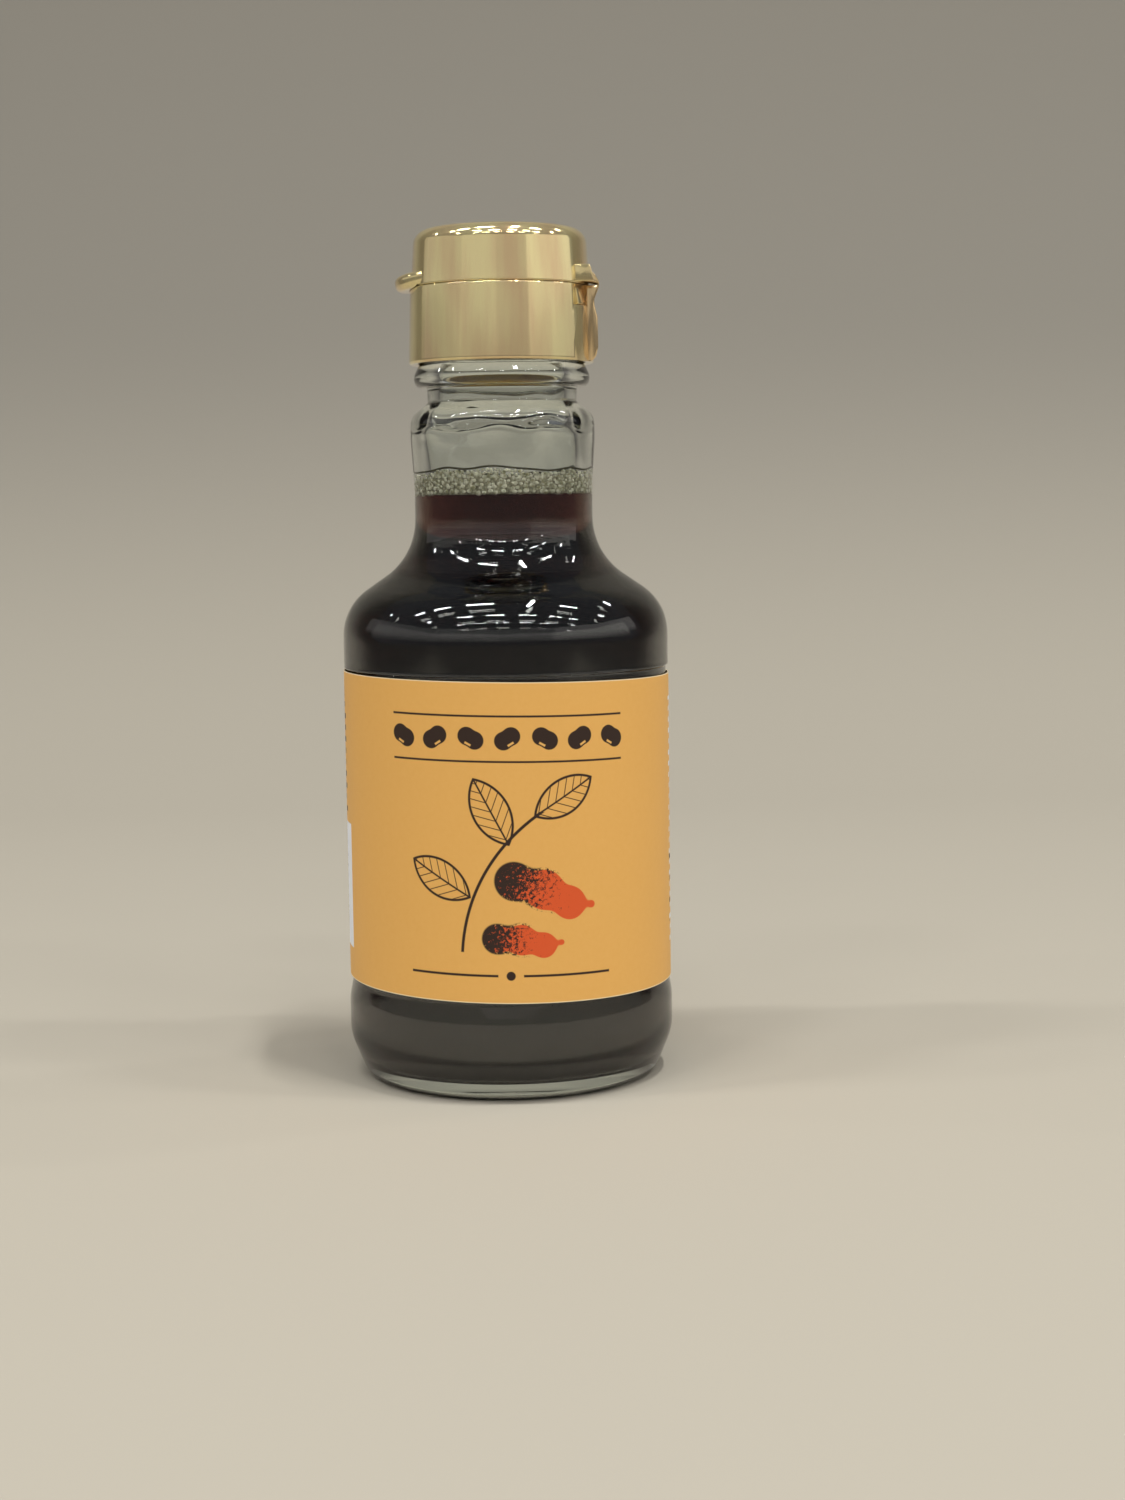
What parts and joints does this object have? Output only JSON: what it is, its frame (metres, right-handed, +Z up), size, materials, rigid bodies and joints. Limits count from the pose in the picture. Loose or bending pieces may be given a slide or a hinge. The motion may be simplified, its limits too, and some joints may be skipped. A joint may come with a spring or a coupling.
{
  "type": "soy sauce bottle",
  "caption": "Squat clear glass bottle of dark soy sauce with a wraparound paper label and a hinged flip-top pouring cap.",
  "frame": {"origin": "centre of the bottle's foot, on the plane it stands on", "axes": "+Z up along the bottle's axis, -Y towards the front of the label, -X towards the cap's thumb tab, +X towards its hinge"},
  "size_m": [0.0564, 0.0564, 0.1451],
  "materials": {
    "bottle_glass": "clear, faintly green, smooth",
    "soy_sauce": "dark red-brown liquid, clear only where thin",
    "sauce_foam": "pale wet bubbles",
    "label_paper": "satin printed paper",
    "gold_plastic": "pearlescent gold moulded polypropylene"
  },
  "bodies": {
    "bottle": {"glass_bottle": "bottle_glass", "soy_sauce": "soy_sauce", "foam": "sauce_foam", "label": "label_paper", "cap_insert": "gold_plastic", "cap_base": "gold_plastic"},
    "lid": {"cap_lid": "gold_plastic"}
  },
  "joints": [
    {"name": "lid_hinge", "type": "hinge", "parent": "bottle", "child": "lid", "pos_m": [0.0167, 0, 0.1349], "axis": [0, 1, 0], "range_deg": [0, 150]}
  ]
}
